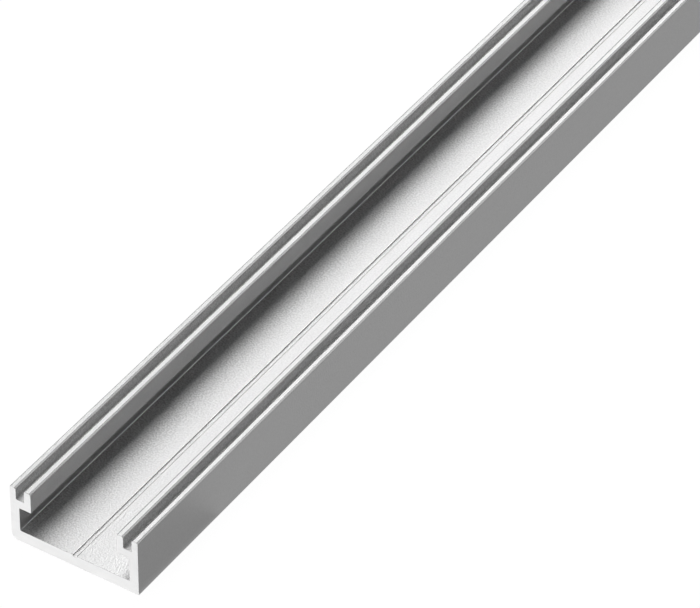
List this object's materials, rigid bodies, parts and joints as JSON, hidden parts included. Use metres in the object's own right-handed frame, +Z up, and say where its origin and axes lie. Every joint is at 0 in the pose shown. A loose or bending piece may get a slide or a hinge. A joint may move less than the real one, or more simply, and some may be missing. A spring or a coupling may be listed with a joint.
{
  "type": "aluminium extrusion profile",
  "caption": "Straight aluminium channel bar with a flat base and inturned flanges, each carrying an upward-open slot between lips; used as a guide track or trim rail.",
  "frame": {"origin": "centre of the flat underside: mid-width, mid-length, at the level that the bar rests on", "axes": "+Y along the bar's length towards its far end, +X across its width, +Z up out of the channel's mouth"},
  "size_m": [0.03, 1, 0.0135],
  "materials": {
    "anodised_aluminium": "satin, finely blasted and clear anodised"
  },
  "bodies": {
    "root": {"channel_profile": "anodised_aluminium"}
  },
  "joints": []
}
